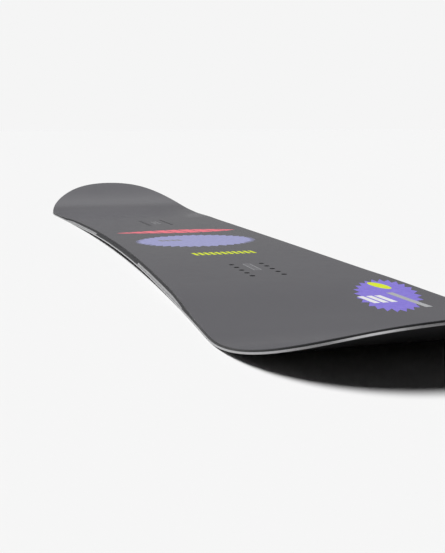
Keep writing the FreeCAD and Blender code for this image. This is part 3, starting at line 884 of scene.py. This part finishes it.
def ellipse(cx, cy, rx, ry, turn=0.0, count=40):
    """An oval outline, turned by some degrees."""
    angle = math.radians(turn)
    points = []
    for index in range(count):
        t = 2 * math.pi * index / count
        x = rx * math.cos(t)
        y = ry * math.sin(t)
        points.append((cx + x * math.cos(angle) - y * math.sin(angle),
                       cy + x * math.sin(angle) + y * math.cos(angle)))
    return points


def star(oval, depth):
    """A toothed outline made from an oval's: every second point is drawn in."""
    cx = sum(x for x, y in oval) / len(oval)
    cy = sum(y for x, y in oval) / len(oval)
    points = []
    for index, (x, y) in enumerate(oval):
        reach = 1 if index % 2 == 0 else 1 - depth * random.uniform(TOOTH_LEAST, 1)
        points.append((cx + (x - cx) * reach, cy + (y - cy) * reach))
    return points


def slanted_blocks(count, y_start, y_end, gap, slant, centre, half):
    """A row of slanted blocks across the board; half gives their half length at a share of the row."""
    pitch = (y_end - y_start) / count
    trim = math.copysign(gap / 2, pitch)
    blocks = []
    for index in range(count):
        left = y_start + index * pitch + trim
        right = y_start + (index + 1) * pitch - trim
        near = half(index / count)
        far = half((index + 1) / count)
        blocks.append([(centre - near, left - slant), (centre - far, right - slant),
                       (centre + far, right + slant), (centre + near, left + slant)])
    return blocks


def bar(cx, cy, half_x, half_y):
    """An upright rectangle's outline."""
    return [(cx - half_x, cy - half_y), (cx + half_x, cy - half_y),
            (cx + half_x, cy + half_y), (cx - half_x, cy + half_y)]


def ladder(middle, rungs=7, pitch=7.2):
    """A printed stance scale between the insert columns: two rails, and rungs between them."""
    rails = [bar(middle, side * 4.6, half_x=23, half_y=0.7) for side in (-1, 1)]
    places = [middle + (rung - rungs // 2) * pitch for rung in range(rungs)]
    return rails + [bar(x, 0, half_x=1, half_y=3.9) for x in places]


def lens(share):
    """Half length of the coral blocks: thin at the ends of the row, tallest past its middle."""
    least, swell, lean, fullness = 3, 21, 1.3, 0.7
    return least + swell * math.sin(math.pi * min(1, max(0, share)) ** lean) ** fullness


print_mark("print_coral_blocks", slanted_blocks(
    9, y_start=97, y_end=-97, gap=2.6, slant=5, centre=122, half=lens), CORAL)
print_mark("print_lavender_oval", [star(ellipse(-5, 2, 70, 94, count=84), depth=0.14)], LAVENDER)
print_mark("print_olive_blocks", slanted_blocks(
    4, y_start=58, y_end=22, gap=3, slant=2, centre=6, half=constant(7)), OLIVE, layer=1)
print_mark("print_yellow_blocks", slanted_blocks(
    11, y_start=45, y_end=-45, gap=3.2, slant=1, centre=-142, half=constant(11)), YELLOW)
for end_name, middle in (("tail", -259), ("nose", 278)):
    print_mark("print_scale_" + end_name, ladder(middle), DIM)
print_mark("print_purple_star", [
    star(ellipse(-453, -86, 80, 36, turn=-21, count=48), depth=0.2)], PURPLE)
print_mark("print_yellow_oval", [ellipse(-410, -98, 19, 8, turn=12)], YELLOW, layer=1)
print_mark("print_grey_bar", [
    [(-445, -96), (-515, -104), (-515, -96), (-445, -88)]], PALE, layer=1)
print_mark("print_white_blocks", slanted_blocks(
    3, y_start=-50, y_end=-80, gap=3, slant=2, centre=-470, half=constant(16)), WHITE, layer=1)


# ---------------------------------------------------------------- floor, light, camera, in metres
FLOOR_REACH = 60
PAPER = 0.85
BACKGROUND = 0.913
LIGHT_FROM = Vector((-0.05, -0.005, 1))
LIGHT_DISTANCE = 3
LIGHT_WIDTH = math.radians(33)
LIGHT_STRENGTH = 3.35
FILL = 0.02
SHEEN = 0.26
PANELS = (  # direction, brightness, half widths in degrees where it is full and where it ends
    ((-0.562, 0.720, 0.407), 0.95, 6, 30),
    ((0.643, -0.184, 0.743), 0.6, 8, 26),
    ((-0.05, 0.0, 1.0), 0.8, 15, 40),
)
CAMERA_PLACE = (-1.279, 0.35721, 0.18276)
CAMERA_YAW = math.radians(16.332)
CAMERA_PITCH = math.radians(9.692)
CAMERA_ROLL = math.radians(-0.077)
CAMERA_NEAR = 0.01
CAMERA_FAR = 200
SENSOR_WIDTH = 36
FOCAL_LENGTH = 56.77
SHIFT_X = 0.0274


def make_floor():
    """A plain pale sheet under the board, wide enough to reach the horizon of any view."""
    mesh = bpy.data.meshes.new("floor")
    corners = [(-1, -1), (1, -1), (1, 1), (-1, 1)]
    mesh.from_pydata([(x * FLOOR_REACH, y * FLOOR_REACH, 0) for x, y in corners], [], [(0, 1, 2, 3)])
    paper = bpy.data.materials.new("floor_paper")
    paper.use_nodes = True
    shader = paper.node_tree.nodes["Principled BSDF"]
    shader.inputs["Base Color"].default_value = (PAPER, PAPER, PAPER, 1)
    shader.inputs["Roughness"].default_value = 1
    shader.inputs["Specular IOR Level"].default_value = 0
    mesh.materials.append(paper)
    floor = bpy.data.objects.new("floor", mesh)
    scene.collection.objects.link(floor)


def make_sun():
    """One broad light overhead, which doesn't show in reflections."""
    data = bpy.data.lights.new("overhead", "SUN")
    data.energy = LIGHT_STRENGTH
    data.angle = LIGHT_WIDTH
    lamp = bpy.data.objects.new("overhead", data)
    lamp.rotation_mode = "QUATERNION"
    lamp.rotation_quaternion = LIGHT_FROM.to_track_quat("Z", "Y")
    lamp.location = LIGHT_FROM * LIGHT_DISTANCE
    lamp.visible_glossy = False
    scene.collection.objects.link(lamp)


def make_world():
    """A faint fill, soft panels that only reflections see, and a backdrop that the camera sees."""
    world = bpy.data.worlds.new("studio")
    world.use_nodes = True
    scene.world = world
    nodes = world.node_tree.nodes
    links = world.node_tree.links
    backdrop = nodes["Background"]
    fill = nodes.new("ShaderNodeBackground")
    fill.inputs["Color"].default_value = (1, 1, 1, 1)
    backdrop.inputs["Color"].default_value = (1, 1, 1, 1)
    backdrop.inputs["Strength"].default_value = BACKGROUND
    path = nodes.new("ShaderNodeLightPath")
    towards = nodes.new("ShaderNodeTexCoord")
    sheen = None
    for direction, brightness, inner, outer in PANELS:
        facing = nodes.new("ShaderNodeVectorMath")
        facing.operation = "DOT_PRODUCT"
        facing.inputs[1].default_value = direction
        links.new(towards.outputs["Generated"], facing.inputs[0])
        panel = nodes.new("ShaderNodeMapRange")
        panel.interpolation_type = "SMOOTHSTEP"
        panel.inputs["From Min"].default_value = math.cos(math.radians(outer))
        panel.inputs["From Max"].default_value = math.cos(math.radians(inner))
        panel.inputs["To Max"].default_value = brightness
        links.new(facing.outputs["Value"], panel.inputs["Value"])
        total = nodes.new("ShaderNodeMath")
        total.inputs[0].default_value = SHEEN
        if sheen:
            links.new(sheen, total.inputs[0])
        links.new(panel.outputs[0], total.inputs[1])
        sheen = total.outputs[0]
    strength = nodes.new("ShaderNodeMapRange")
    strength.inputs["To Min"].default_value = FILL
    links.new(path.outputs["Is Glossy Ray"], strength.inputs["Value"])
    links.new(sheen, strength.inputs["To Max"])
    links.new(strength.outputs[0], fill.inputs["Strength"])
    choice = nodes.new("ShaderNodeMixShader")
    links.new(path.outputs["Is Camera Ray"], choice.inputs[0])
    links.new(fill.outputs[0], choice.inputs[1])
    links.new(backdrop.outputs[0], choice.inputs[2])
    links.new(choice.outputs[0], nodes["World Output"].inputs["Surface"])


def make_camera():
    """A long lens low behind the tail, to the left of the board."""
    ahead = Vector((math.cos(CAMERA_YAW) * math.cos(CAMERA_PITCH),
                    -math.sin(CAMERA_YAW) * math.cos(CAMERA_PITCH), -math.sin(CAMERA_PITCH)))
    sideways = Vector((-math.sin(CAMERA_YAW), -math.cos(CAMERA_YAW), 0))
    upright = sideways.cross(ahead)
    right = sideways * math.cos(CAMERA_ROLL) + upright * math.sin(CAMERA_ROLL)
    top = upright * math.cos(CAMERA_ROLL) - sideways * math.sin(CAMERA_ROLL)
    data = bpy.data.cameras.new("camera")
    data.sensor_width = SENSOR_WIDTH
    data.lens = FOCAL_LENGTH
    data.shift_x = SHIFT_X
    data.clip_start = CAMERA_NEAR
    data.clip_end = CAMERA_FAR
    camera = bpy.data.objects.new("camera", data)
    turn = Matrix((right, top, -ahead)).transposed().to_4x4()
    camera.matrix_world = Matrix.Translation(CAMERA_PLACE) @ turn
    scene.collection.objects.link(camera)
    scene.camera = camera


make_floor()
make_sun()
make_world()
make_camera()
scene.view_settings.view_transform = "Standard"
